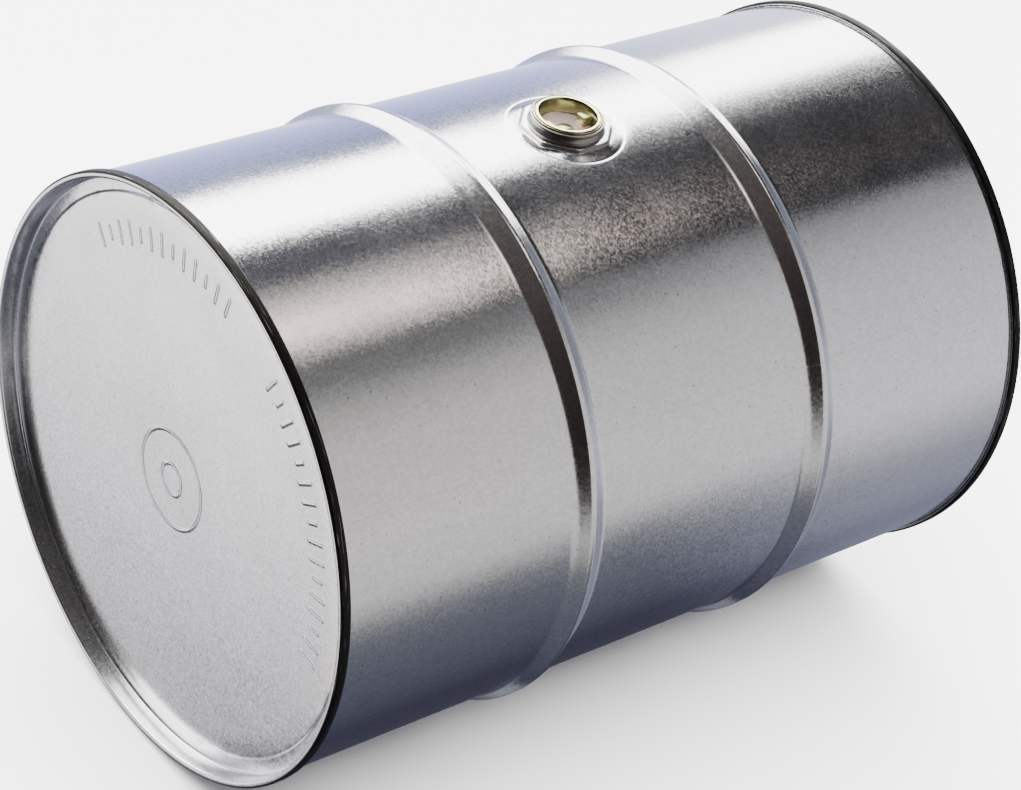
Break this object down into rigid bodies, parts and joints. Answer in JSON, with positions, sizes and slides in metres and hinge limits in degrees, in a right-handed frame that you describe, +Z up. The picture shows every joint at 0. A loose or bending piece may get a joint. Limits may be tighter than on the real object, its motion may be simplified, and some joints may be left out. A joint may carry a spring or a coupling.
{
  "type": "steel oil drum",
  "caption": "Closed cylindrical steel drum lying on rolling hoops, with rolled end seams, recessed heads and a screw plug in a neck on its side.",
  "frame": {"origin": "on the floor, under the middle of the drum as it lies on its rolling hoops", "axes": "+X along the drum's axis from the front head to the rear head, +Z up and out through the screw plug"},
  "size_m": [0.83, 0.5918, 0.5953],
  "materials": {
    "body_sheet": "hot-dip galvanised sheet steel with a fine mottled spangle, semi-gloss",
    "head_sheet": "hot-dip galvanised sheet steel with a fine spangle, semi-gloss, light scuffs",
    "seam_compound": "cured seaming compound, dull",
    "flange_steel": "zinc-plated steel, semi-gloss",
    "gasket_rubber": "moulded black rubber, matt",
    "plug_steel": "yellow-passivated zinc plating, iridescent, glossy"
  },
  "bodies": {
    "drum": {"body_shell": "body_sheet", "front_head": "head_sheet", "rear_head": "head_sheet", "front_seam_compound": "seam_compound", "rear_seam_compound": "seam_compound", "bung_flange": "flange_steel", "bung_flange_gasket": "gasket_rubber"},
    "plug_seal": {"bung_plug_gasket": "gasket_rubber"},
    "plug": {"bung_plug": "plug_steel"}
  },
  "joints": [
    {"name": "plug_lift", "type": "slide", "parent": "drum", "child": "plug_seal", "axis": [0, 0, 1], "range_m": [0, 0.01156]},
    {"name": "plug_turn", "type": "hinge", "parent": "plug_seal", "child": "plug", "pos_m": [0, 0, 0.588], "axis": [0, 0, 1], "range_deg": [0, 1800]}
  ],
  "couplings": [
    {"joint": "plug_lift", "follows": "plug_turn", "m_per_rad": 0.0003675}
  ]
}
